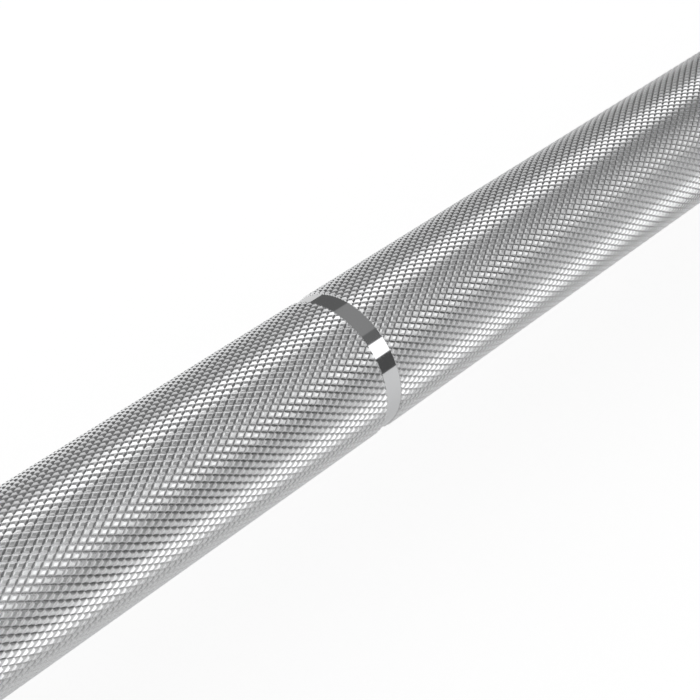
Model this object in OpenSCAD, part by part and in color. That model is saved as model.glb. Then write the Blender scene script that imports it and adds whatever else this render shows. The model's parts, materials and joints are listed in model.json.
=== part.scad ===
// Weightlifting barbell: a knurled steel shaft with a free-turning loading sleeve at each end.
// The bar lies along X with its middle at the origin, and +Z is up. Sizes are in millimetres.
// Profiles are lists of [radius, place along the bar], written for the right-hand end.

/* [Shaft] */
// Overall length of the barbell
bar_length = 2200; // [2180:10:2220]
// Clear length of shaft between the two collars
grip_length = 1310; // [1300:5:1320]
// Diameter over the crests of the knurl
grip_d = 28; // [27.6:0.1:28.6]
// Diameter of the plain ground steel between the knurled stretches
plain_d = 27.8; // [27.6:0.1:27.8]
// Diameter of the ground journal that the bearings run on
journal_d = 25; // [24.9:0.05:25.1]

/* [Knurl layout] */
// Length of the centre knurl
centre_knurl = 120; // [80:5:200]
// Plain stretch on each side of the centre knurl
plain_gap = 150; // [100:5:200]
// Plain stretch between the outer end of the knurl and the collar
end_gap = 5; // [3:1:10]
// Distance between the middles of the two ring marks
ring_spacing = 910; // [900:1:920]
// Width of a ring mark
ring_w = 3.7; // [3:0.1:6]
// Depth of a ring mark below the crests of the knurl
ring_depth = 0.3; // [0.2:0.05:0.6]

/* [Sleeve] */
// Outer diameter of the loading sleeve
sleeve_d = 50; // [49.8:0.1:50]
// Bore that holds the bushings and the bearing cups
seat_d = 32; // [31.9:0.05:32.1]
// Relieved bore between the two bearing groups
relief_d = 28.5; // [27:0.5:31]
// Diameter of the stub that the collar is pressed on
stub_d = 46; // [44:0.5:47]
// Width of the relief groove round the foot of the loading length, beside the collar
foot_groove_w = 2.5; // [2:0.5:4]
// Bevel on the outer end of the sleeve
sleeve_bevel = 2; // [1:0.5:2.5]

/* [Collar] */
// Outer diameter of the collar
collar_d = 76; // [72:1:80]
// Thickness of the collar along the bar
collar_t = 30; // [28:1:32]
// Length along the bar of the collar's tapered inner edge
collar_taper = 7; // [4:1:10]
// Radius of the collar's rounded edges
collar_round = 1.5; // [1:0.5:2]

/* [Needle bearings] */
// Length of a bearing cup
cup_length = 20; // [18:1:22]
// Wall of a bearing cup
cup_wall = 1; // [0.8:0.1:1.2]
// Needles in a bearing
needle_count = 18; // [12:1:20]
// Radial play at each side of a needle
needle_play = 0.03; // [0.02:0.01:0.05]

/* [Bushings and washers] */
// Length of a bushing behind its flange
bushing_length = 30; // [20:1:32]
// Thickness of a bushing's flange
flange_t = 2; // [1.5:0.5:2.5]
// Radial running clearance of a bushing on the journal
bushing_play = 0.04; // [0.02:0.01:0.08]
// Thickness of a thrust washer
washer_t = 1.5; // [1:0.5:2]
// End play between a thrust washer and its bushing
end_play = 0.1; // [0.1:0.05:0.3]

/* [End cap] */
// Diameter of the pocket that the end cap sits in
pocket_d = 42; // [41:0.5:42]
// Depth of the end cap's face below the end of the sleeve
cap_recess = 4.1; // [3.5:0.1:5]
// Thickness of the end cap
cap_t = 8; // [7:0.5:9]
// Thickness of the internal retaining ring over the end cap
cap_ring_t = 1.75; // [1.5:0.25:2]

/* [Hidden] */
$fn = 96;
right = 1;
left = -1;

// Colours
chrome = [0.74, 0.75, 0.76];
dark_steel = [0.45, 0.46, 0.48];
bronze = [0.72, 0.52, 0.28];
black_rubber = [0.07, 0.07, 0.07];
satin_alloy = [0.66, 0.67, 0.69];

// Radii of the shaft, sleeve and collar
crest_r = grip_d / 2;
plain_r = plain_d / 2;
ring_r = crest_r - ring_depth;
journal_r = journal_d / 2;
sleeve_r = sleeve_d / 2;
seat_r = seat_d / 2;
relief_r = relief_d / 2;
stub_r = stub_d / 2;
collar_r = collar_d / 2;
pocket_r = pocket_d / 2;
foot_groove_depth = 0.4;
foot_r = sleeve_r - foot_groove_depth;
counterbore_depth = 2;
counterbore_r = seat_r + counterbore_depth;

// Small bevels
knurl_bevel = 0.4;
ring_bevel = 0.15;
edge_bevel = 0.6;
shaft_bevel = 1.5;

// Places along the bar, from the inner end of the right sleeve outwards
collar_x = grip_length / 2;
collar_face_x = collar_x + collar_t;
bar_end = bar_length / 2;
lip_t = 4;
stub_end = collar_x + lip_t;
shoulder_sunk = 3;
seal_t = 4;
seal_room = 5;
shoulder_x = stub_end + seal_t + seal_room;
inner_flange_x = shoulder_x + washer_t + end_play;
inner_seat_x = inner_flange_x + flange_t;
piece_gap = 1.5;
inner_cup_x = inner_seat_x + bushing_length + piece_gap;
inner_relief_x = inner_cup_x + cup_length + piece_gap;
cap_face_x = bar_end - cap_recess;
cap_back_x = cap_face_x - cap_t;
shaft_end_room = 18;
outer_seat_x = cap_back_x - shaft_end_room;
outer_flange_end = outer_seat_x + flange_t;
outer_washer_x = outer_flange_end + end_play;
shaft_groove_x = outer_washer_x + washer_t;
outer_cup_x = outer_seat_x - bushing_length - piece_gap - cup_length;
outer_relief_x = outer_cup_x - piece_gap;

// Retaining rings and their grooves; each ring's free edge is off centre by ring_off_centre
ring_fit = 0.05;
groove_play = 0.1;
ring_off_centre = 0.5;
shaft_ring_t = 1.2;
shaft_groove_r = journal_r - 0.55;
shaft_groove_end = shaft_groove_x + shaft_ring_t + groove_play;
shaft_nose = 4;
shaft_end = shaft_groove_end + shaft_nose;
shaft_ring_out_r = shaft_groove_r + 2.35;
shaft_lug_place = shaft_ring_out_r + 0.3;
shaft_lug_angle = 18;
shaft_lug_r = 1.9;
shaft_lug_hole_r = 1;
shaft_gap_angle = 9;
cap_groove_r = pocket_r + 1.25;
cap_groove_end = cap_face_x + cap_ring_t + groove_play;
cap_ring_in_r = cap_groove_r - 3.3;
cap_lug_place = cap_ring_in_r - 0.5;
cap_lug_angle = 16;
cap_lug_r = 2.6;
cap_lug_hole_r = 1.25;
cap_gap_angle = 8;

// Knurled stretches of one half of the shaft
centre_end = centre_knurl / 2;
main_knurl_x = centre_end + plain_gap;
main_knurl_end = collar_x - end_gap;
ring_x = ring_spacing / 2;

// Needle bearing
cup_bore_r = seat_r - cup_wall;
pitch_r = (journal_r + cup_bore_r) / 2;
needle_r = (cup_bore_r - journal_r) / 2 - needle_play;
cup_lip_r = journal_r + 0.9;
cage_t = 1.4;
cage_in_r = pitch_r - cage_t / 2;
cage_out_r = pitch_r + cage_t / 2;
cage_play = 0.2;
cage_length = cup_length - 2 * cup_wall - 2 * cage_play;
cage_rim = 0.9;
needle_length = cage_length - 2 * cage_rim - 2 * cage_play;
pocket_play = 0.1;
needle_round = 0.3;

// End cap
o_ring_r = 1;
o_groove_w = 2.6;
o_groove_r = pocket_r - 2 * o_ring_r;
cap_dish_r = 12;
cap_dish_depth = 0.8;

// Points of a quarter-circle edge of the given radius, its centre at c, from one angle to another
function rounded(c, radius, from, to, steps = 6) =
    [for (i = [0:steps]) let (a = from + (to - from) * i / steps)
        [c[0] + radius * cos(a), c[1] + radius * sin(a)]];

// A list in the opposite order, with the places along the bar turned to the other end
function other_end(points) =
    [for (i = [len(points) - 1:-1:0]) [points[i][0], -points[i][1]]];

// Turns a profile round the bar's axis
module turned(points) {
    rotate([0, 90, 0])
        rotate_extrude()
            polygon(points);
}

// Places a right-hand piece at the right end, or its mirror image at the left end
module at_end(side) {
    if (side == left)
        mirror([1, 0, 0]) children();
    else
        children();
}

// A plain ring between two radii with bevelled outer edges
module turned_ring(inner_r, outer_r, from, length, bevel) {
    turned([[inner_r, from],
        [outer_r - bevel, from],
        [outer_r, from + bevel],
        [outer_r, from + length - bevel],
        [outer_r - bevel, from + length],
        [inner_r, from + length]]);
}

// Outline of half the shaft, from the centre knurl's end to the right end of the journal
shaft_half = [
    [crest_r, centre_end],
    [plain_r, centre_end + knurl_bevel],
    [plain_r, main_knurl_x - knurl_bevel],
    [crest_r, main_knurl_x],
    [crest_r, ring_x - ring_w / 2 - ring_bevel],
    [ring_r, ring_x - ring_w / 2],
    [ring_r, ring_x + ring_w / 2],
    [crest_r, ring_x + ring_w / 2 + ring_bevel],
    [crest_r, main_knurl_end],
    [plain_r, main_knurl_end + knurl_bevel],
    [plain_r, shoulder_x - edge_bevel],
    [plain_r - edge_bevel, shoulder_x],
    [journal_r, shoulder_x],
    [journal_r, shaft_groove_x],
    [shaft_groove_r, shaft_groove_x],
    [shaft_groove_r, shaft_groove_end],
    [journal_r, shaft_groove_end],
    [journal_r, shaft_end - shaft_bevel],
    [journal_r - shaft_bevel, shaft_end],
    [0, shaft_end]];

module shaft() {
    color(chrome)
        turned(concat(other_end(shaft_half), shaft_half));
}

// The loading sleeve: outside from the stub to the bevelled end, then back along the stepped bore
module sleeve(side) {
    color(chrome)
        at_end(side)
            turned([[counterbore_r, stub_end],
                [stub_r - edge_bevel, stub_end],
                [stub_r, stub_end + edge_bevel],
                [stub_r, collar_face_x - shoulder_sunk],
                [foot_r, collar_face_x - shoulder_sunk],
                [foot_r, collar_face_x + foot_groove_w - foot_groove_depth],
                [sleeve_r, collar_face_x + foot_groove_w],
                [sleeve_r, bar_end - sleeve_bevel],
                [sleeve_r - sleeve_bevel, bar_end],
                [pocket_r + edge_bevel, bar_end],
                [pocket_r, bar_end - edge_bevel],
                [pocket_r, cap_groove_end],
                [cap_groove_r, cap_groove_end],
                [cap_groove_r, cap_face_x],
                [pocket_r, cap_face_x],
                [pocket_r, cap_back_x],
                [counterbore_r, cap_back_x],
                [counterbore_r, outer_seat_x],
                [seat_r, outer_seat_x],
                [seat_r, outer_relief_x],
                [relief_r, outer_relief_x - (seat_r - relief_r)],
                [relief_r, inner_relief_x + (seat_r - relief_r)],
                [seat_r, inner_relief_x],
                [seat_r, inner_seat_x],
                [counterbore_r, inner_seat_x]]);
}

// The collar: an inward lip over the seal, a tapered inner edge and a flat outer face that stops the plates.
// The sleeve's shoulder is sunk into that face, so plates meet nothing but the collar.
module collar(side) {
    taper_angle = 35;
    taper_r = collar_r - collar_taper * tan(taper_angle);
    lip_r = plain_r + 1.1;
    color(chrome)
        at_end(side)
            turned(concat([[lip_r, collar_x]],
                rounded([taper_r - collar_round, collar_x + collar_round], collar_round, -90, -taper_angle),
                rounded([collar_r - collar_round, collar_x + collar_taper + collar_round],
                    collar_round, -taper_angle, 0),
                rounded([collar_r - collar_round, collar_face_x - collar_round], collar_round, 0, 90),
                [[foot_r, collar_face_x],
                    [foot_r, collar_face_x - shoulder_sunk],
                    [stub_r, collar_face_x - shoulder_sunk],
                    [stub_r, stub_end],
                    [lip_r, stub_end]]));
}

// Rubber dust seal with one flexible lip leaning out towards the grip
module dust_seal(side) {
    seal_play = 0.05;
    seal_r = plain_r + seal_play;
    lip_w = 0.7;
    heel_r = plain_r + 1.6;
    color(black_rubber)
        at_end(side)
            turned([[seal_r, stub_end],
                [seal_r + lip_w, stub_end],
                [heel_r, stub_end + seal_t / 2],
                [heel_r + lip_w, stub_end],
                [counterbore_r, stub_end],
                [counterbore_r, stub_end + seal_t],
                [heel_r, stub_end + seal_t],
                [seal_r, stub_end + lip_w]]);
}

// Hardened thrust washer, loose on the journal
module thrust_washer(side, from) {
    washer_play = 0.1;
    washer_bevel = 0.3;
    washer_r = counterbore_r - 1;
    color(dark_steel)
        at_end(side)
            turned_ring(journal_r + washer_play, washer_r, from, washer_t, washer_bevel);
}

// Flanged bushing: the flange stands in the counterbore, facing the grip or the end of the bar
module bushing(side, seat, facing) {
    flange_from = seat - facing * flange_t;
    body_end = seat + facing * bushing_length;
    bore_r = journal_r + bushing_play;
    flange_r = counterbore_r - ring_fit;
    color(bronze)
        at_end(side)
            turned([[bore_r, flange_from + facing * edge_bevel],
                [bore_r + edge_bevel, flange_from],
                [flange_r, flange_from],
                [flange_r, seat],
                [seat_r, seat],
                [seat_r, body_end - facing * edge_bevel],
                [seat_r - edge_bevel, body_end],
                [bore_r, body_end]]);
}

// Drawn cup with a turned-in lip at each end
module bearing_cup(side, from) {
    to = from + cup_length;
    color(dark_steel)
        at_end(side)
            turned(concat(
                [[cup_lip_r, from]],
                rounded([seat_r - cup_wall, from + cup_wall], cup_wall, -90, 0),
                rounded([seat_r - cup_wall, to - cup_wall], cup_wall, 0, 90),
                [[cup_lip_r, to],
                    [cup_lip_r, to - cup_wall],
                    [cup_bore_r, to - cup_wall],
                    [cup_bore_r, from + cup_wall],
                    [cup_lip_r, from + cup_wall]]));
}

// Repeats a piece round the bar's axis, once for each needle
module each_needle() {
    for (i = [0:needle_count - 1])
        rotate([360 * i / needle_count, 0, 0])
            translate([0, 0, pitch_r])
                children();
}

// Thin cage with a window for each needle
module bearing_cage(side, from) {
    middle = from + cup_length / 2;
    window_w = 2 * (needle_r + pocket_play);
    window_l = needle_length + 2 * cage_play;
    color(dark_steel)
        at_end(side)
            difference() {
                turned([[cage_in_r, middle - cage_length / 2],
                    [cage_out_r, middle - cage_length / 2],
                    [cage_out_r, middle + cage_length / 2],
                    [cage_in_r, middle + cage_length / 2]]);
                translate([middle, 0, 0])
                    each_needle()
                        cube([window_l, window_w, 4 * needle_r], center = true);
            }
}

// The needles, each turned with slightly rounded ends
module bearing_needles(side, from) {
    half = needle_length / 2;
    color(chrome)
        at_end(side)
            translate([from + cup_length / 2, 0, 0])
                each_needle()
                    turned([[0, -half],
                        [needle_r - needle_round, -half],
                        [needle_r, -half + needle_round],
                        [needle_r, half - needle_round],
                        [needle_r - needle_round, half],
                        [0, half]]);
}

// Two round lugs, or their holes, one on each side of a ring's gap
module lug_pair(place, angle, radius) {
    for (turn = [-angle, angle])
        rotate(turn)
            translate([place, 0])
                circle(r = radius);
}

// Flat retaining ring cut from the shape given to it, with two lugs and a gap at the top
module retaining_ring(from, thickness, lug_place, lug_angle, lug_r, hole_r, gap_angle) {
    reach = 2 * lug_place;
    color(dark_steel)
        translate([from, 0, 0])
            rotate([0, 90, 0])
                rotate([0, 0, 180])
                    linear_extrude(thickness)
                        difference() {
                            union() {
                                children();
                                lug_pair(lug_place, lug_angle, lug_r);
                            }
                            lug_pair(lug_place, lug_angle, hole_r);
                            polygon([[0, 0],
                                [reach, -reach * tan(gap_angle)],
                                [reach, reach * tan(gap_angle)]]);
                        }
}

// External ring in the shaft's groove: its outer edge is off centre, so it is widest opposite the gap
module shaft_ring(side) {
    at_end(side)
        retaining_ring(shaft_groove_x, shaft_ring_t, shaft_lug_place, shaft_lug_angle,
            shaft_lug_r, shaft_lug_hole_r, shaft_gap_angle)
            difference() {
                translate([-ring_off_centre, 0])
                    circle(r = shaft_ring_out_r);
                circle(r = shaft_groove_r);
            }
}

// Internal ring in the sleeve's groove: its inner edge is off centre, and its lugs point inwards
module cap_ring(side) {
    at_end(side)
        retaining_ring(cap_face_x, cap_ring_t, cap_lug_place, cap_lug_angle,
            cap_lug_r, cap_lug_hole_r, cap_gap_angle)
            difference() {
                circle(r = cap_groove_r - ring_fit);
                translate([ring_off_centre, 0])
                    circle(r = cap_ring_in_r);
            }
}

// End cap: a plug with a groove for its O-ring and a shallow dish in its bare face
module end_cap(side) {
    rim_r = pocket_r - ring_fit;
    groove_from = cap_back_x + (cap_t - o_groove_w) / 2;
    color(satin_alloy)
        at_end(side)
            turned([[0, cap_back_x],
                [rim_r - edge_bevel, cap_back_x],
                [rim_r, cap_back_x + edge_bevel],
                [rim_r, groove_from],
                [o_groove_r, groove_from],
                [o_groove_r, groove_from + o_groove_w],
                [rim_r, groove_from + o_groove_w],
                [rim_r, cap_face_x - edge_bevel],
                [rim_r - edge_bevel, cap_face_x],
                [cap_dish_r + cap_dish_depth, cap_face_x],
                [cap_dish_r, cap_face_x - cap_dish_depth],
                [0, cap_face_x - cap_dish_depth]]);
}

// O-ring in the end cap's groove
module cap_seal(side) {
    color(black_rubber)
        at_end(side)
            translate([cap_back_x + cap_t / 2, 0, 0])
                rotate([0, 90, 0])
                    rotate_extrude()
                        translate([pocket_r - o_ring_r, 0])
                            circle(r = o_ring_r - ring_fit);
}

shaft();
sleeve(right);  // right_sleeve
collar(right);  // right_collar
dust_seal(right);  // right_dust_seal
thrust_washer(right, shoulder_x);  // right_inner_thrust_washer
bushing(right, inner_seat_x, 1);  // right_inner_bushing
bearing_cup(right, inner_cup_x);  // right_inner_bearing_cup
bearing_cage(right, inner_cup_x);  // right_inner_bearing_cage
bearing_needles(right, inner_cup_x);  // right_inner_bearing_needles
bearing_cup(right, outer_cup_x);  // right_outer_bearing_cup
bearing_cage(right, outer_cup_x);  // right_outer_bearing_cage
bearing_needles(right, outer_cup_x);  // right_outer_bearing_needles
bushing(right, outer_seat_x, -1);  // right_outer_bushing
thrust_washer(right, outer_washer_x);  // right_outer_thrust_washer
shaft_ring(right);  // right_shaft_ring
end_cap(right);  // right_end_cap
cap_seal(right);  // right_cap_seal
cap_ring(right);  // right_cap_ring
sleeve(left);  // left_sleeve
collar(left);  // left_collar
dust_seal(left);  // left_dust_seal
thrust_washer(left, shoulder_x);  // left_inner_thrust_washer
bushing(left, inner_seat_x, 1);  // left_inner_bushing
bearing_cup(left, inner_cup_x);  // left_inner_bearing_cup
bearing_cage(left, inner_cup_x);  // left_inner_bearing_cage
bearing_needles(left, inner_cup_x);  // left_inner_bearing_needles
bearing_cup(left, outer_cup_x);  // left_outer_bearing_cup
bearing_cage(left, outer_cup_x);  // left_outer_bearing_cage
bearing_needles(left, outer_cup_x);  // left_outer_bearing_needles
bushing(left, outer_seat_x, -1);  // left_outer_bushing
thrust_washer(left, outer_washer_x);  // left_outer_thrust_washer
shaft_ring(left);  // left_shaft_ring
end_cap(left);  // left_end_cap
cap_seal(left);  // left_cap_seal
cap_ring(left);  // left_cap_ring
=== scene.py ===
"""Looks of a weightlifting barbell: a knurled chrome shaft between two turning loading sleeves.

Everything is in metres, in the part's own frame: the bar lies along X, its middle at the origin.
"""

import json
import logging
import math
from dataclasses import dataclass
from enum import Enum
from typing import Any, Sequence

import bmesh
import bpy
import numpy as np
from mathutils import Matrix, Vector


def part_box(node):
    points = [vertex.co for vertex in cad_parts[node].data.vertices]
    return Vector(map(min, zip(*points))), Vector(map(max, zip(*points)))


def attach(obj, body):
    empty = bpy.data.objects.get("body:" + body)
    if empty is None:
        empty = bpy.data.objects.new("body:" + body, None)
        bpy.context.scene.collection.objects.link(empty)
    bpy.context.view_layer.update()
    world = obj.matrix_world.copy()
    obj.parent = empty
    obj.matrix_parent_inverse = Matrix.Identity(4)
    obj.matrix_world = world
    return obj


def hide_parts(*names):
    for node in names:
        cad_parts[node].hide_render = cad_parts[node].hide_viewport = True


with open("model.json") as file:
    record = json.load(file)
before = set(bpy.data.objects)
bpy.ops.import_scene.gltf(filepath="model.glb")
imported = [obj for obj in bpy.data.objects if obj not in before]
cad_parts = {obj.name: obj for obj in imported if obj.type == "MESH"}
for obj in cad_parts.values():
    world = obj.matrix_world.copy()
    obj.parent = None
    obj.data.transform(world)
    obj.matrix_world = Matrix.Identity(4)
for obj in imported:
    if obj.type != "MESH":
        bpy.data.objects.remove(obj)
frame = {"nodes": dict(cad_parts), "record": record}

MM = 0.001
# A length below this is none, and a cut takes in points this near to its plane.
TINY = 1e-9
CUT_TOLERANCE = 1e-7
# The most of a flat that one rounding takes, and how many roundings long a flat is to be held.
ROUNDING_SHARE = 0.45
HOLD_ROOM = 4
# How far lathe marks wander round the bar, as a share of their distance across it.
MARK_DRIFT = 0.012
LOG = logging.getLogger("barbell")
Colour = tuple[float, float, float]


class Side(Enum):
    """One end of the bar, with the sign of its places along X."""

    RIGHT = 1
    LEFT = -1

    @property
    def label(self) -> str:
        """The end's name as the nodes and bodies write it."""
        return self.name.lower()


class Slot(Enum):
    """The record's material slots."""

    CHROME = "chrome"
    STEEL = "bearing_steel"
    BRONZE = "bronze"
    RUBBER = "rubber"
    ALLOY = "cap_alloy"


class Wrap:
    """A number that changes over a surface: an output socket for use in Python arithmetic."""

    def __init__(self, graph: "Graph", socket: Any) -> None:
        """Keeps an output socket and the graph that it belongs to."""
        self.graph = graph
        self.socket = socket

    def math(self, operation: str, *others: Any) -> "Wrap":
        """This number and the others after it, put through a Math node."""
        return self.graph.math(operation, self, *others)

    def __add__(self, other: Any) -> "Wrap":
        """This plus other."""
        return self.math("ADD", other)

    __radd__ = __add__

    def __mul__(self, other: Any) -> "Wrap":
        """This times other."""
        return self.math("MULTIPLY", other)

    __rmul__ = __mul__

    def __sub__(self, other: Any) -> "Wrap":
        """This less other."""
        return self.math("SUBTRACT", other)

    def __rsub__(self, other: Any) -> "Wrap":
        """Other less this."""
        return self.graph.math("SUBTRACT", other, self)

    def step(self, low: float, high: float) -> "Wrap":
        """A smooth step that is 0 up to low and 1 from high.

        Args:
            low: where the step starts.
            high: where the step ends.

        Returns:
            The step, wrapped.
        """
        settings = {"interpolation_type": "SMOOTHSTEP", "clamp": True}
        sockets = {0: self, 1: low, 2: high, 3: 0.0, 4: 1.0}
        node = self.graph.add("ShaderNodeMapRange", settings, sockets)
        return Wrap(self.graph, node.outputs[0])

    def band(self, low: float, high: float, soft: float) -> "Wrap":
        """1 between low and high and 0 outside, with edges as wide as soft."""
        half = soft / 2
        return self.step(low - half, low + half) * (1 - self.step(high - half, high + half))


class Graph:
    """The node tree of a material or of the world."""

    def __init__(self, tree: Any) -> None:
        """Empties the node tree that is to be filled."""
        self.tree = tree
        tree.nodes.clear()

    def add(self, kind: str, settings: dict[str, Any] | None = None,
            sockets: dict[Any, Any] | None = None) -> Any:
        """Adds a node.

        Args:
            kind: the node's type.
            settings: the node's own properties, set first.
            sockets: input by name or index, each a value, a wrapped socket or an output socket.

        Returns:
            The node.
        """
        node = self.tree.nodes.new(kind)
        for key, value in (settings or {}).items():
            setattr(node, key, value)
        for key, value in (sockets or {}).items():
            self.feed(node.inputs[key], value)
        return node

    def feed(self, socket: Any, value: Any) -> None:
        """Sets or links an input.

        Args:
            socket: the input.
            value: a wrapped socket, an output socket, or a plain value.
        """
        if isinstance(value, Wrap):
            value = value.socket
        if isinstance(value, bpy.types.NodeSocket):
            self.tree.links.new(value, socket)
        else:
            socket.default_value = value

    def math(self, operation: str, *values: Any) -> Wrap:
        """Adds a Math node for an operation on values, given in the order of its inputs."""
        node = self.add("ShaderNodeMath", {"operation": operation}, dict(enumerate(values)))
        return Wrap(self, node.outputs[0])

    def vector(self, operation: str, *values: Any) -> Any:
        """Adds a Vector Math node, and gives the output socket of its vector or length."""
        node = self.add("ShaderNodeVectorMath", {"operation": operation}, dict(enumerate(values)))
        return node.outputs["Value" if operation == "LENGTH" else "Vector"]

    def mix(self, factor: Any, first: Any, second: Any) -> Any:
        """Mixes two colours.

        Args:
            factor: 0 gives the first and 1 the second.
            first: a colour or an output socket.
            second: a colour or an output socket.

        Returns:
            The colour's output socket.
        """
        node = self.add("ShaderNodeMix", {"data_type": "RGBA"})
        sockets = {s.identifier: s for s in node.inputs}
        self.feed(sockets["Factor_Float"], factor)
        self.feed(sockets["A_Color"], first)
        self.feed(sockets["B_Color"], second)
        return next(s for s in node.outputs if s.identifier == "Result_Color")

    def noise(self, vector: Any, scale: float, detail: float = 2.0) -> Wrap:
        """Noise from 0 to 1 at a vector: scale is features per metre, detail its finer octaves."""
        sockets = {"Vector": vector, "Scale": scale, "Detail": detail}
        return Wrap(self, self.add("ShaderNodeTexNoise", None, sockets).outputs[0])

    def place(self) -> Any:
        """The point's place in the part's own frame, as an output socket."""
        return self.add("ShaderNodeTexCoord").outputs["Object"]

    def radius(self, place: Any) -> Wrap:
        """The distance from the bar's axis of the point at a place."""
        return Wrap(self, self.vector("LENGTH", self.vector("MULTIPLY", place, (0.0, 1.0, 1.0))))

    def lathe_marks(self, place: Any, per_metre: float) -> Wrap:
        """Fine rings that a lathe or belt leaves: round the bar outside, concentric on a face.

        Args:
            place: the point's place.
            per_metre: marks per metre across them.

        Returns:
            The wrapped marks, from 0 to 1.
        """
        along = self.add("ShaderNodeSeparateXYZ", None, {0: place}).outputs["X"]
        sockets = {0: along, 1: self.radius(place)}
        across = self.add("ShaderNodeCombineXYZ", None, sockets).outputs[0]
        drift = self.vector("MULTIPLY", place, (0.0, MARK_DRIFT, MARK_DRIFT))
        return self.noise(self.vector("ADD", across, drift), per_metre, detail=1.0)

    def surface(self, **sockets: Any) -> None:
        """Ends the graph in a Principled shader.

        Args:
            sockets: its inputs, with _ for each space in a name.
        """
        named = {key.replace("_", " "): value for key, value in sockets.items()}
        shader = self.add("ShaderNodeBsdfPrincipled", None, named)
        self.add("ShaderNodeOutputMaterial", None, {"Surface": shader.outputs[0]})


def opaque(tint: Sequence[float] | float) -> tuple[float, float, float, float]:
    """A colour socket's value from a colour or from one grey."""
    red, green, blue = (tint, tint, tint) if isinstance(tint, float) else tint
    return (red, green, blue, 1.0)


def new_material(name: str) -> tuple[bpy.types.Material, Graph]:
    """Makes an empty material.

    Args:
        name: the material's name.

    Returns:
        The material and its graph.
    """
    material = bpy.data.materials.new(name)
    material.use_nodes = True
    return material, Graph(material.node_tree)


@dataclass(frozen=True)
class MetalFinish:
    """A machined or plated metal surface: lathe or polish marks, haze and light handling wear."""

    name: str
    tint: Colour
    worn_tint: Colour
    roughness: float
    haze: float
    mark_height: float
    marks_per_metre: float = 9000.0
    clouds_per_metre: float = 38.0
    cloud_detail: float = 4.0
    smears_per_cloud: float = 7.0
    smear_detail: float = 3.0
    smear_edges: tuple[float, float] = (0.5, 0.8)
    worn_edges: tuple[float, float] = (0.45, 0.75)
    cloud_share: float = 0.6
    smear_share: float = 0.3
    mark_share: float = 0.4

    def material(self) -> bpy.types.Material:
        """Builds the material.

        Returns:
            The material.
        """
        material, graph = new_material(self.name)
        place = graph.place()
        clouds = graph.noise(place, self.clouds_per_metre, self.cloud_detail)
        smears = graph.noise(place, self.clouds_per_metre * self.smears_per_cloud,
                             self.smear_detail).step(*self.smear_edges)
        marks = graph.lathe_marks(place, self.marks_per_metre)
        worn = clouds.step(*self.worn_edges)
        tint = graph.mix(worn, opaque(self.tint), opaque(self.worn_tint))
        rough = self.roughness + self.haze * (clouds * self.cloud_share
                                              + smears * self.smear_share
                                              + marks * self.mark_share)
        bump = graph.add("ShaderNodeBump", None, {"Distance": self.mark_height, "Height": marks})
        graph.surface(Base_Color=tint, Metallic=1.0, Roughness=rough, Normal=bump.outputs[0])
        return material


@dataclass(frozen=True)
class KnurlFinish:
    """Chrome over the rolled diamonds: bright crests, and painted shade down in the grooves, where
    the tint is darker.
    """

    name: str
    tint: Colour
    groove_shade_tint: Colour
    roughness: float
    groove_roughness: float
    root_r: float
    crest_r: float
    clouds_per_metre: float = 60.0
    cloud_detail: float = 3.0
    haze: float = 0.04

    def material(self) -> bpy.types.Material:
        """Builds the material.

        Returns:
            The material.
        """
        material, graph = new_material(self.name)
        place = graph.place()
        crest = graph.radius(place).step(self.root_r, self.crest_r)
        clouds = graph.noise(place, self.clouds_per_metre, self.cloud_detail)
        # painted shade: the tint darkens from the crests down to the bottoms of the grooves
        tint = graph.mix(crest, opaque(self.groove_shade_tint), opaque(self.tint))
        in_groove = (1 - crest) * (self.groove_roughness - self.roughness)
        rough = self.roughness + in_groove + self.haze * clouds
        graph.surface(Base_Color=tint, Metallic=1.0, Roughness=rough)
        return material


@dataclass(frozen=True)
class RubberFinish:
    """Black moulded rubber with a fine matt grain and a little dust."""

    name: str = "black_rubber"
    tint: Colour = (0.02, 0.02, 0.02)
    dust: Colour = (0.055, 0.053, 0.05)
    roughness: float = 0.5
    grains_per_metre: float = 2500.0
    grain_height: float = 0.02 * MM
    grain_haze: float = 0.2
    dust_per_metre: float = 90.0
    dust_detail: float = 3.0
    dust_edges: tuple[float, float] = (0.4, 0.8)
    dust_haze: float = 0.15

    def material(self) -> bpy.types.Material:
        """Builds the material.

        Returns:
            The material.
        """
        material, graph = new_material(self.name)
        place = graph.place()
        grain = graph.noise(place, self.grains_per_metre)
        dusty = graph.noise(place, self.dust_per_metre, self.dust_detail).step(*self.dust_edges)
        tint = graph.mix(dusty, opaque(self.tint), opaque(self.dust))
        rough = self.roughness + self.grain_haze * grain + self.dust_haze * dusty
        bump = graph.add("ShaderNodeBump", None, {"Distance": self.grain_height, "Height": grain})
        graph.surface(Base_Color=tint, Roughness=rough, Normal=bump.outputs[0])
        return material


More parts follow.
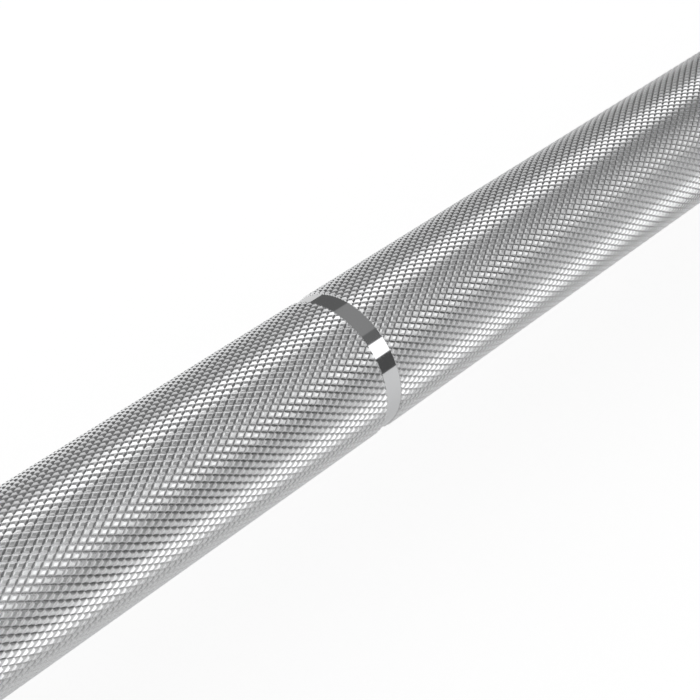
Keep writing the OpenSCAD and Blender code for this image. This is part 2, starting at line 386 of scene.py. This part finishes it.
class Finishes:
    """The barbell's finishes, made once and shared by its pieces."""

    def __init__(self, root_r: float, crest_r: float) -> None:
        """Makes every material.

        Args:
            root_r: radius at the bottom of the knurl.
            crest_r: radius over the knurl.
        """
        chrome, veiled = (0.77, 0.775, 0.78), (0.72, 0.725, 0.735)
        # the groove tint is painted shade in the knurl's grooves
        self.knurl = KnurlFinish("knurled_chrome", tint=chrome, groove_shade_tint=(0.58, 0.58, 0.585),
                                 roughness=0.28, groove_roughness=0.2,
                                 root_r=root_r, crest_r=crest_r).material()
        self.mirror = MetalFinish("mirror_chrome", chrome, veiled, roughness=0.04, haze=0.05,
                                  mark_height=0.0004 * MM).material()
        self.plain = MetalFinish("ground_chrome", chrome, veiled, roughness=0.09, haze=0.08,
                                 mark_height=0.0012 * MM).material()
        self.sleeve = MetalFinish("sleeve_chrome", chrome, veiled, roughness=0.07, haze=0.09,
                                  mark_height=0.0009 * MM, marks_per_metre=5000.0).material()
        self.steel = MetalFinish("bearing_steel", (0.5, 0.5, 0.51), (0.42, 0.42, 0.43),
                                 roughness=0.22, haze=0.14, mark_height=0.001 * MM).material()
        self.bronze = MetalFinish("bearing_bronze", (0.72, 0.52, 0.28), (0.58, 0.4, 0.2),
                                  roughness=0.3, haze=0.18, mark_height=0.002 * MM).material()
        self.alloy = MetalFinish("turned_alloy", (0.68, 0.69, 0.7), (0.6, 0.61, 0.62),
                                 roughness=0.24, haze=0.14, mark_height=0.004 * MM,
                                 marks_per_metre=3500.0).material()
        self.rubber = RubberFinish().material()
        self.of_slot = {Slot.CHROME: self.plain, Slot.STEEL: self.steel,
                        Slot.BRONZE: self.bronze, Slot.RUBBER: self.rubber,
                        Slot.ALLOY: self.alloy}


@dataclass(frozen=True)
class Reach:
    """How far a turned form reaches along the bar, measured outwards, and its radius."""

    start: float
    end: float
    radius: float

    @classmethod
    def of(cls, node: str) -> "Reach":
        """Reads a node's reach from the frame.

        Args:
            node: the node's name.

        Returns:
            Its reach.
        """
        low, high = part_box(node)
        start, end = sorted((abs(low.x), abs(high.x)))
        return cls(start, end, max(high.y, high.z))


@dataclass(frozen=True)
class Corner:
    """A turned profile's corner: its place along the bar, its radius, how far it is rounded."""

    x: float
    r: float
    ease: float = 0.0


def rounded_profile(corners: Sequence[Corner], steps: int = 4,
                    hold: float = 0.2 * MM) -> list[tuple[float, float]]:
    """Rounds the corners of a profile and holds the flats straight right up to each rounding.

    Args:
        corners: the corners in order; the last joins the first.
        steps: straight pieces in each rounding.
        hold: how far from a rounding the flat gets a point that keeps its shading straight.

    Returns:
        (place along the bar, radius) of each point.
    """
    at = [Vector((c.x, c.r)) for c in corners]
    points: list[Vector] = []
    for n, corner in enumerate(corners):
        before, here, after = at[n - 1], at[n], at[(n + 1) % len(at)]
        if corner.ease <= TINY:
            points.append(here)
            continue
        to_before, to_after = before - here, after - here
        ease = min(corner.ease, ROUNDING_SHARE * to_before.length,
                   ROUNDING_SHARE * to_after.length)
        first, last = here + to_before.normalized() * ease, here + to_after.normalized() * ease
        if to_before.length > HOLD_ROOM * (ease + hold):
            points.append(first + to_before.normalized() * hold)
        for s in range(steps + 1):
            t = s / steps
            points.append((1 - t) ** 2 * first + 2 * t * (1 - t) * here + t ** 2 * last)
        if to_after.length > HOLD_ROOM * (ease + hold):
            points.append(last + to_after.normalized() * hold)
    return [(p.x, p.y) for p in points]


def new_object(name: str, mesh: bpy.types.Mesh, material: bpy.types.Material) -> bpy.types.Object:
    """Puts a mesh into the scene.

    Args:
        name: the object's name.
        mesh: its mesh.
        material: its only material.

    Returns:
        The object.
    """
    mesh.materials.append(material)
    piece = bpy.data.objects.new(name, mesh)
    bpy.context.scene.collection.objects.link(piece)
    return piece


def turned(name: str, side: Side, corners: Sequence[Corner], material: bpy.types.Material,
           segments: int = 192, crease: float = 36.0) -> bpy.types.Object:
    """Turns a profile round the bar's axis into a closed solid.

    Args:
        name: the piece's name.
        side: the end of the bar that the profile, written outwards, is for.
        corners: the profile's corners. It may touch the axis at its first and last corner.
        material: its finish.
        segments: steps round the axis.
        crease: edges sharper than this many degrees stay sharp.

    Returns:
        The piece.
    """
    bm = bmesh.new()
    rings: list[list[bmesh.types.BMVert]] = []
    turns = [2 * math.pi * n / segments for n in range(segments)]
    for along, radius in rounded_profile(corners):
        x = side.value * along
        if radius <= TINY:
            rings.append([bm.verts.new((x, 0, 0))])
        else:
            rings.append([bm.verts.new((x, -radius * math.cos(a), radius * math.sin(a)))
                          for a in turns])
    pairs = list(zip(rings, rings[1:] + rings[:1]))
    for first, second in pairs:
        if len(first) == 1 and len(second) == 1:
            continue
        for n in range(segments):
            after = (n + 1) % segments
            around = [first[n % len(first)], first[after % len(first)],
                      second[after % len(second)], second[n % len(second)]]
            bm.faces.new(list(dict.fromkeys(around)))
    bmesh.ops.recalc_face_normals(bm, faces=bm.faces[:])
    for face in bm.faces:
        face.smooth = True
    for edge in bm.edges:
        edge.smooth = edge.calc_face_angle(0.0) < math.radians(crease)
    mesh = bpy.data.meshes.new(name)
    bm.to_mesh(mesh)
    bm.free()
    return new_object(name, mesh, material)


def settle(piece: bpy.types.Object, body: str, node: str) -> None:
    """Makes a piece ride on its body in place of a node, and reports it.

    Args:
        piece: the piece.
        body: the body it rides on.
        node: the node that it stands for.
    """
    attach(piece, body)
    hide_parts(node)
    LOG.info("%s rides on %s in place of %s", piece.name, body, node)


@dataclass(frozen=True)
class KnurlEnd:
    """How a knurled stretch ends: its place and radius, the crests' bevel, the grooves' run-out."""

    x: float
    rim_r: float
    bevel: float = 0.0
    run_out: float = 0.0


@dataclass
class Knurl:
    """A diamond knurl: V grooves of either hand, which leave flat-topped pyramids."""

    crest_r: float
    starts: int = 62
    axial_pitch: float = 2.4 * MM
    flat_share: float = 0.42
    depth: float = 0.335 * MM

    @property
    def root_r(self) -> float:
        """Radius at the bottom of the grooves."""
        return self.crest_r - self.depth

    def lattice(self, start: float, end: float) -> tuple[np.ndarray, np.ndarray]:
        """Makes whole diamonds that reach past both ends.

        Args:
            start: where the stretch begins along the bar.
            end: where it ends.

        Returns:
            The points, and the four-sided faces that join them.
        """
        step_x, step_a = self.axial_pitch / 2, math.pi / self.starts
        first, last = math.floor(start / step_x) - 1, math.ceil(end / step_x) + 1
        columns, rows = last - first + 1, 2 * self.starts
        k, m = np.meshgrid(np.arange(first, last + 1), np.arange(rows), indexing="ij")
        is_root = (k + m) % 2 == 0
        root_id = np.full((columns, rows), -1)
        root_id[is_root] = np.arange(is_root.sum())
        inner = ~is_root
        inner[[0, -1], :] = False
        ck, cm = k[inner], m[inner]
        crest_from = int(is_root.sum())
        crest_id = crest_from + 4 * np.arange(len(ck))
        around = np.array([(-1, 0), (0, 1), (1, 0), (0, -1)])
        crest_at = np.stack([ck, cm], 1)[:, None, :] + self.flat_share * around[None]
        root_at = np.stack([k[is_root], m[is_root]], 1).astype(float)
        at = np.concatenate([root_at, crest_at.reshape(-1, 2)])
        radius = np.full(len(at), self.root_r)
        radius[crest_from:] = self.crest_r
        angle = at[:, 1] * step_a
        points = np.stack([at[:, 0] * step_x, -radius * np.cos(angle),
                           radius * np.sin(angle)], 1)
        corner = [root_id[ck - first + dk, (cm + dm) % rows] for dk, dm in around]
        faces = [np.stack([crest_id + n for n in range(4)], 1)]
        for n in range(4):
            after = (n + 1) % 4
            faces.append(np.stack([corner[n], corner[after], crest_id + after, crest_id + n], 1))
        return points, np.concatenate(faces)[:, ::-1]

    def finish_end(self, bm: bmesh.types.BMesh, end: KnurlEnd) -> None:
        """Brings the crests down over the bevel and lets the grooves run out.

        Args:
            bm: the stretch, already cut off at that end.
            end: how it ends.
        """
        for vert in bm.verts:
            inwards = abs(vert.co.x - end.x)
            radius = math.hypot(vert.co.y, vert.co.z)
            wanted = radius
            if inwards < end.run_out:
                climb = (self.root_r - end.rim_r) * inwards / end.run_out
                wanted = max(wanted, end.rim_r + climb)
            if inwards < end.bevel:
                climb = (self.crest_r - end.rim_r) * inwards / end.bevel
                wanted = min(wanted, end.rim_r + climb)
            vert.co.y *= wanted / radius
            vert.co.z *= wanted / radius

    def stretch(self, name: str, start: KnurlEnd, end: KnurlEnd,
                material: bpy.types.Material) -> bpy.types.Object:
        """Makes a closed solid with a knurled outside.

        Args:
            name: the piece's name.
            start: its end at the lower X.
            end: its end at the higher X.
            material: its finish.

        Returns:
            The piece.
        """
        points, faces = self.lattice(start.x, end.x)
        mesh = bpy.data.meshes.new(name)
        mesh.from_pydata(points.tolist(), [], faces.tolist())
        bm = bmesh.new()
        bm.from_mesh(mesh)
        for tip, outwards in ((start, -1), (end, 1)):
            for inwards in sorted({0.0, tip.bevel, tip.run_out / 2, tip.run_out}):
                bmesh.ops.bisect_plane(bm, geom=bm.verts[:] + bm.edges[:] + bm.faces[:],
                                       dist=CUT_TOLERANCE, plane_no=(outwards, 0, 0),
                                       plane_co=(tip.x - outwards * inwards, 0, 0),
                                       clear_outer=inwards == 0.0)
            self.finish_end(bm, tip)
        bmesh.ops.holes_fill(bm, edges=[e for e in bm.edges if e.is_boundary], sides=0)
        bm.to_mesh(mesh)
        bm.free()
        return new_object(name, mesh, material)


@dataclass
class Shaft:
    """The steel shaft: knurled stretches, ring marks, plain steel, and a journal at each end."""

    finishes: Finishes
    knurl: Knurl
    ring_x: float = 455 * MM
    ring_w: float = 3.7 * MM
    ring_r: float = 13.7 * MM
    ring_bevel: float = 0.15 * MM
    centre_half: float = 60 * MM
    main_from: float = 210 * MM
    end_gap: float = 5 * MM
    knurl_bevel: float = 0.4 * MM
    run_out: float = 1.6 * MM
    plain_r: float = 13.9 * MM
    journal_r: float = 12.5 * MM
    edge_bevel: float = 0.6 * MM
    nose_bevel: float = 1.5 * MM
    groove_depth: float = 0.55 * MM
    groove_play: float = 0.1 * MM
    slight: float = 0.15 * MM

    @property
    def main_end(self) -> float:
        """Outer end of the main knurl, beside the collar."""
        return Reach.of("right_collar").start - self.end_gap

    def knurl_ends(self) -> list[tuple[str, KnurlEnd, KnurlEnd]]:
        """Name and ends of each knurled stretch of the bar's right half.

        Returns:
            Name, inner end and outer end.
        """
        half_ring = self.ring_w / 2
        half_way = (self.main_from + self.ring_x) / 2

        def at_plain(x: float) -> KnurlEnd:
            """An end that meets plain steel at x."""
            return KnurlEnd(x, self.plain_r, self.knurl_bevel, self.run_out)

        def at_ring(x: float) -> KnurlEnd:
            """An end that meets a ring mark at x."""
            return KnurlEnd(x, self.ring_r, self.ring_bevel)

        joint = KnurlEnd(half_way, self.knurl.crest_r)
        return [("inner_knurl_a", at_plain(self.main_from - self.knurl_bevel), joint),
                ("inner_knurl_b", joint, at_ring(self.ring_x - half_ring)),
                ("outer_knurl", at_ring(self.ring_x + half_ring),
                 at_plain(self.main_end + self.knurl_bevel))]

    def knurled(self) -> list[bpy.types.Object]:
        """Makes the knurled stretches.

        Returns:
            The pieces.
        """
        half = self.centre_half + self.knurl_bevel
        centre = [KnurlEnd(x, self.plain_r, self.knurl_bevel, self.run_out) for x in (-half, half)]
        made = [self.knurl.stretch("centre_knurl", *centre, self.finishes.knurl)]
        for label, inner, outer in self.knurl_ends():
            for side in Side:
                ends = [KnurlEnd(side.value * e.x, e.rim_r, e.bevel, e.run_out)
                        for e in (inner, outer)]
                start, end = sorted(ends, key=lambda e: e.x)
                made.append(self.knurl.stretch(f"{side.label}_{label}", start, end,
                                               self.finishes.knurl))
        return made

    def smooth(self, name: str, side: Side, reach: Reach,
               material: bpy.types.Material) -> bpy.types.Object:
        """Makes a smooth stretch of the shaft.

        Args:
            name: the piece's name.
            side: the end of the bar.
            reach: where it starts and ends, and its radius.
            material: its finish.

        Returns:
            The piece.
        """
        start, end, radius = reach.start, reach.end, reach.radius
        corners = [Corner(start, 0.0), Corner(start, radius), Corner(end, radius), Corner(end, 0.0)]
        return turned(name, side, corners, material)

    def ring_mark(self, side: Side) -> bpy.types.Object:
        """Makes the smooth recessed ring that crosses the knurl."""
        reach = Reach(self.ring_x - self.ring_w / 2, self.ring_x + self.ring_w / 2, self.ring_r)
        return self.smooth(f"{side.label}_ring_mark", side, reach, self.finishes.mirror)

    def plain(self, side: Side) -> bpy.types.Object:
        """Makes the plain stretch between the centre knurl and the main knurl.

        Args:
            side: the end of the bar.

        Returns:
            The piece.
        """
        start, end = self.centre_half + self.knurl_bevel, self.main_from - self.knurl_bevel
        reach = Reach(start, end, self.plain_r)
        return self.smooth(f"{side.label}_plain_steel", side, reach, self.finishes.plain)

    def journal(self, side: Side) -> bpy.types.Object:
        """Makes the grip's plain end, the shoulder and the journal with its retaining-ring groove.

        Args:
            side: the end of the bar.

        Returns:
            The piece.
        """
        start = self.main_end + self.knurl_bevel
        shoulder = Reach.of("right_inner_thrust_washer").start
        ring = Reach.of("right_shaft_ring")
        nose = Reach.of("shaft").end
        groove_r, groove_end = self.journal_r - self.groove_depth, ring.end + self.groove_play
        corners = [Corner(start, 0.0), Corner(start, self.plain_r),
                   Corner(shoulder - self.edge_bevel, self.plain_r, self.slight),
                   Corner(shoulder, self.plain_r - self.edge_bevel, self.slight),
                   Corner(shoulder, self.journal_r),
                   Corner(ring.start, self.journal_r, self.slight), Corner(ring.start, groove_r),
                   Corner(groove_end, groove_r), Corner(groove_end, self.journal_r, self.slight),
                   Corner(nose - self.nose_bevel, self.journal_r, self.slight),
                   Corner(nose, self.journal_r - self.nose_bevel, self.slight),
                   Corner(nose, 0.0)]
        return turned(f"{side.label}_journal", side, corners, self.finishes.plain)

    def build(self) -> None:
        """Makes every piece of the shaft."""
        pieces = self.knurled()
        for side in Side:
            pieces += [self.ring_mark(side), self.plain(side), self.journal(side)]
        for piece in pieces:
            settle(piece, "bar", "shaft")


@dataclass
class LoadingSleeve:
    """What turns round one end of the shaft: loading sleeve, collar, dust seal and end cap."""

    side: Side
    finishes: Finishes
    stub_r: float = 23 * MM
    shoulder_sunk: float = 3 * MM
    foot_groove_w: float = 2.5 * MM
    foot_groove_depth: float = 0.4 * MM
    end_bevel: float = 2 * MM
    edge_bevel: float = 0.6 * MM
    pocket_r: float = 21 * MM
    relief_r: float = 14.25 * MM
    flange_t: float = 2 * MM
    piece_gap: float = 1.5 * MM
    groove_play: float = 0.1 * MM
    ring_fit: float = 0.05 * MM
    collar_taper: float = 7 * MM
    taper_degrees: float = 35.0
    collar_round: float = 1.5 * MM
    lip_r: float = 15 * MM
    seal_lip: float = 0.7 * MM
    seal_in_r: float = 13.95 * MM
    lip_ease: float = 0.1 * MM
    heel_ease: float = 0.4 * MM
    heel_r: float = 15.5 * MM
    o_groove_w: float = 2.6 * MM
    o_ring_d: float = 2 * MM
    dish_r: float = 12 * MM
    dish_depth: float = 0.8 * MM
    slight: float = 0.2 * MM

    def reach(self, node: str) -> Reach:
        """A node's reach at this end of the bar."""
        return Reach.of(f"{self.side.label}_{node}")

    @property
    def foot_r(self) -> float:
        """Radius of the relief groove beside the collar."""
        return self.reach("sleeve").radius - self.foot_groove_depth

    def tube(self) -> bpy.types.Object:
        """Makes the loading sleeve with its stepped bore and the pocket for the end cap.

        Returns:
            The piece.
        """
        tube, collar, cap = self.reach("sleeve"), self.reach("collar"), self.reach("end_cap")
        face, bevel, edge = collar.end, self.end_bevel, self.edge_bevel
        cap_ring = self.reach("cap_ring")
        groove_r, groove_end = cap_ring.radius + self.ring_fit, cap_ring.end + self.groove_play
        seat_r = self.reach("inner_bearing_cup").radius
        counterbore_r = self.reach("dust_seal").radius
        inner_seat = self.reach("inner_bushing").start + self.flange_t
        outer_seat = self.reach("outer_bushing").end - self.flange_t
        inner_relief = self.reach("inner_bearing_cup").end + self.piece_gap
        outer_relief = self.reach("outer_bearing_cup").start - self.piece_gap
        slope, foot_end = seat_r - self.relief_r, face + self.foot_groove_w
        corners = [Corner(tube.start, counterbore_r),
                   Corner(tube.start, self.stub_r - edge, self.slight),
                   Corner(tube.start + edge, self.stub_r, self.slight),
                   Corner(face - self.shoulder_sunk, self.stub_r),
                   Corner(face - self.shoulder_sunk, self.foot_r),
                   Corner(foot_end - self.foot_groove_depth, self.foot_r, self.slight),
                   Corner(foot_end, tube.radius, self.slight),
                   Corner(tube.end - bevel, tube.radius, 2 * self.slight),
                   Corner(tube.end, tube.radius - bevel, 2 * self.slight),
                   Corner(tube.end, self.pocket_r + edge, self.slight),
                   Corner(tube.end - edge, self.pocket_r, self.slight),
                   Corner(groove_end, self.pocket_r), Corner(groove_end, groove_r),
                   Corner(cap.end, groove_r), Corner(cap.end, self.pocket_r),
                   Corner(cap.start, self.pocket_r), Corner(cap.start, counterbore_r),
                   Corner(outer_seat, counterbore_r), Corner(outer_seat, seat_r),
                   Corner(outer_relief, seat_r), Corner(outer_relief - slope, self.relief_r),
                   Corner(inner_relief + slope, self.relief_r), Corner(inner_relief, seat_r),
                   Corner(inner_seat, seat_r), Corner(inner_seat, counterbore_r)]
        return turned(f"{self.side.label}_sleeve_tube", self.side, corners,
                      self.finishes.sleeve)

    def collar(self) -> bpy.types.Object:
        """Makes the collar with its inward lip, tapered inner edge and flat outer face.

        Returns:
            The piece.
        """
        collar, stub_end = self.reach("collar"), self.reach("sleeve").start
        drop = self.collar_taper * math.tan(math.radians(self.taper_degrees))
        corners = [Corner(collar.start, self.lip_r, self.slight),
                   Corner(collar.start, collar.radius - drop, self.collar_round),
                   Corner(collar.start + self.collar_taper, collar.radius, self.collar_round),
                   Corner(collar.end, collar.radius, self.collar_round),
                   Corner(collar.end, self.foot_r),
                   Corner(collar.end - self.shoulder_sunk, self.foot_r),
                   Corner(collar.end - self.shoulder_sunk, self.stub_r),
                   Corner(stub_end, self.stub_r), Corner(stub_end, self.lip_r)]
        return turned(f"{self.side.label}_collar_flange", self.side, corners,
                      self.finishes.sleeve)

    def dust_seal(self) -> bpy.types.Object:
        """Makes the rubber seal with its lip that leans out towards the grip.

        Returns:
            The piece.
        """
        seal = self.reach("dust_seal")
        corners = [Corner(seal.start, self.seal_in_r, self.lip_ease),
                   Corner(seal.start, self.seal_in_r + self.seal_lip, self.lip_ease),
                   Corner((seal.start + seal.end) / 2, self.heel_r, self.heel_ease),
                   Corner(seal.start, self.heel_r + self.seal_lip, self.lip_ease),
                   Corner(seal.start, seal.radius), Corner(seal.end, seal.radius),
                   Corner(seal.end, self.heel_r, self.slight),
                   Corner(seal.start + self.seal_lip, self.seal_in_r, self.slight)]
        return turned(f"{self.side.label}_seal_lip", self.side, corners, self.finishes.rubber)

    def end_cap(self) -> bpy.types.Object:
        """Makes the plug that closes the sleeve: an O-ring groove, and a dish in its bare face.

        Returns:
            The piece.
        """
        cap = self.reach("end_cap")
        edge, middle, half = self.edge_bevel, (cap.start + cap.end) / 2, self.o_groove_w / 2
        groove_r, dish_x = self.pocket_r - self.o_ring_d, cap.end - self.dish_depth
        corners = [Corner(cap.start, 0.0), Corner(cap.start, cap.radius - edge),
                   Corner(cap.start + edge, cap.radius),
                   Corner(middle - half, cap.radius), Corner(middle - half, groove_r),
                   Corner(middle + half, groove_r), Corner(middle + half, cap.radius),
                   Corner(cap.end - edge, cap.radius, self.slight),
                   Corner(cap.end, cap.radius - edge, self.slight),
                   Corner(cap.end, self.dish_r + self.dish_depth, self.slight),
                   Corner(dish_x, self.dish_r, self.slight), Corner(dish_x, 0.0)]
        return turned(f"{self.side.label}_end_plug", self.side, corners, self.finishes.alloy)

    def build(self) -> None:
        """Makes every piece of the sleeve."""
        pieces = ((self.tube(), Slot.CHROME, "sleeve"), (self.collar(), Slot.CHROME, "collar"),
                  (self.dust_seal(), Slot.RUBBER, "dust_seal"),
                  (self.end_cap(), Slot.ALLOY, "end_cap"))
        for piece, slot, node in pieces:
            settle(piece, f"{self.side.label}_sleeve", f"{self.side.label}_{node}")


@dataclass
class CarriedOver:
    """The nodes whose own shape is right: bearings, bushings, washers, O-rings, retaining rings."""

    finishes: Finishes

    def dress(self) -> None:
        """Gives each node that still shows the finish of its slot in the record."""
        for part in frame["record"]["subparts"]:
            node = frame["nodes"][part["node"]]
            if node.hide_render:
                continue
            for held in node.material_slots:
                held.material = self.finishes.of_slot[Slot(part["material_slot"])]
            LOG.info("%s keeps its shape, finished as %s", node.name, part["material_slot"])


@dataclass(frozen=True)
class Panel:
    """One long panel of the studio, parallel to the bar, as shiny surfaces see it.

    Its edges are in degrees round the bar from the floor in front, and its levels are those at
    the near end, in the middle and at the far end.
    """

    low: float
    high: float
    levels: tuple[float, float, float]


@dataclass
class Studio:
    """Pale floor, soft light and the camera."""

    floor_z: float
    camera_at: tuple[float, float, float] = (-633.3 * MM, -167.7 * MM, 192.5 * MM)
    yaw: float = 47.268
    pitch: float = 37.639
    focal_px: float = 1709.5
    frame_px: float = 700.0
    sensor_mm: float = 36.0
    seen_from: float = 0.01
    seen_to: float = 200.0
    floor_reach: float = 60.0
    floor_tint: float = 0.74
    white_level: float = 1.1
    seen_share: float = 0.75
    shiny_share: float = 0.25
    matt_level: float = 1.0
    background_level: float = 1.0
    panel_edge: float = 2.0
    near_zone: tuple[float, float] = (0.12, 0.3)
    far_zone: tuple[float, float] = (0.72, 0.82)
    panels: tuple[Panel, ...] = (
        Panel(-30.0, 2.0, (0.3, 0.1, 1.1)),
        Panel(2.0, 23.0, (0.35, 0.085, 0.5)),
        Panel(23.0, 26.0, (1.9, 0.085, 0.5)),
        Panel(26.0, 49.0, (1.9, 1.7, 0.9)),
        Panel(49.0, 55.0, (1.3, 0.15, 0.4)),
        Panel(55.0, 66.0, (0.75, 0.15, 0.3)),
        Panel(66.0, 100.0, (0.75, 0.27, 0.2)),
        Panel(100.0, 127.0, (1.1, 0.27, 0.2)),
        Panel(127.0, 215.0, (1.3, 0.125, 0.1)))

    def camera(self) -> None:
        """Makes the camera at the photograph's viewing angle."""
        data = bpy.data.cameras.new("camera")
        data.sensor_width = self.sensor_mm
        data.lens = self.sensor_mm * self.focal_px / self.frame_px
        data.clip_start, data.clip_end = self.seen_from, self.seen_to
        camera = bpy.data.objects.new("camera", data)
        camera.location = self.camera_at
        camera.rotation_euler = (math.radians(90 - self.pitch), 0.0, -math.radians(self.yaw))
        bpy.context.scene.collection.objects.link(camera)
        bpy.context.scene.camera = camera

    def floor(self) -> None:
        """Makes the floor: white to the camera, pale in reflections, with the object's shadow."""
        reach = self.floor_reach
        mesh = bpy.data.meshes.new("floor")
        corners = [(-reach, -reach, self.floor_z), (reach, -reach, self.floor_z),
                   (reach, reach, self.floor_z), (-reach, reach, self.floor_z)]
        mesh.from_pydata(corners, [], [(0, 1, 2, 3)])
        material, graph = new_material("pale_floor")
        path = graph.add("ShaderNodeLightPath")
        seen = Wrap(graph, path.outputs["Is Camera Ray"])
        shiny = graph.math("MAXIMUM", path.outputs["Is Glossy Ray"],
                           path.outputs["Is Transmission Ray"])
        matt = graph.add("ShaderNodeBsdfDiffuse", None, {"Color": opaque(self.floor_tint)})
        white, pale = (graph.add("ShaderNodeEmission", None,
                                 {"Color": opaque(1.0), "Strength": strength})
                       for strength in (self.white_level, self.floor_tint))
        to_shiny = graph.add("ShaderNodeMixShader", None,
                             {0: shiny * self.shiny_share, 1: matt.outputs[0], 2: pale.outputs[0]})
        to_seen = graph.add("ShaderNodeMixShader", None,
                            {0: seen * self.seen_share, 1: to_shiny.outputs[0],
                             2: white.outputs[0]})
        graph.add("ShaderNodeOutputMaterial", None, {"Surface": to_seen.outputs[0]})
        new_object("floor", mesh, material)

    def world(self) -> None:
        """Makes the world: white to the camera, even to matt surfaces, panels to shiny ones.

        The panels stand for the long soft lights and grey flats that the chrome mirrors. With each
        of their levels at 1.0, shiny surfaces see plain white too.
        """
        world = bpy.data.worlds.new("studio")
        bpy.context.scene.world = world
        world.use_nodes = True
        graph = Graph(world.node_tree)
        path = graph.add("ShaderNodeLightPath")
        towards = graph.add("ShaderNodeTexCoord").outputs["Generated"]
        parts = graph.add("ShaderNodeSeparateXYZ", None, {0: towards})
        x, y, z = (Wrap(graph, parts.outputs[n]) for n in range(3))
        turn = graph.math("ARCTAN2", z, 0 - y) * math.degrees(1.0)
        bands = [turn.band(panel.low, panel.high, self.panel_edge) for panel in self.panels]
        near, middle, far = (sum(band * panel.levels[n]
                                 for band, panel in zip(bands, self.panels)) for n in range(3))
        at_near, at_far = 1 - x.step(*self.near_zone), x.step(*self.far_zone)
        level = middle + (near - middle) * at_near + (far - middle) * at_far
        shiny = graph.math("MAXIMUM", path.outputs["Is Glossy Ray"],
                           path.outputs["Is Transmission Ray"])
        soft, cards, white = (graph.add("ShaderNodeBackground", None, {0: opaque(1.0), 1: strength})
                              for strength in (self.matt_level, level, self.background_level))
        to_shiny = graph.add("ShaderNodeMixShader", None,
                             {0: shiny, 1: soft.outputs[0], 2: cards.outputs[0]})
        to_seen = graph.add("ShaderNodeMixShader", None,
                            {0: path.outputs["Is Camera Ray"], 1: to_shiny.outputs[0],
                             2: white.outputs[0]})
        graph.add("ShaderNodeOutputWorld", None, {0: to_seen.outputs[0]})

    def build(self) -> None:
        """Makes the whole studio."""
        bpy.context.scene.view_settings.view_transform = "Standard"
        self.camera()
        self.floor()
        self.world()


def main() -> None:
    """Builds the studio and the barbell."""
    logging.basicConfig(level=logging.INFO, format="%(name)s: %(message)s")
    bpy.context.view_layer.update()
    knurl = Knurl(Reach.of("shaft").radius)
    finishes = Finishes(knurl.root_r, knurl.crest_r)
    Studio(floor_z=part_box("right_collar")[0].z).build()
    Shaft(finishes, knurl).build()
    for side in Side:
        LoadingSleeve(side, finishes).build()
    CarriedOver(finishes).dress()


if __name__ == "__main__":
    main()
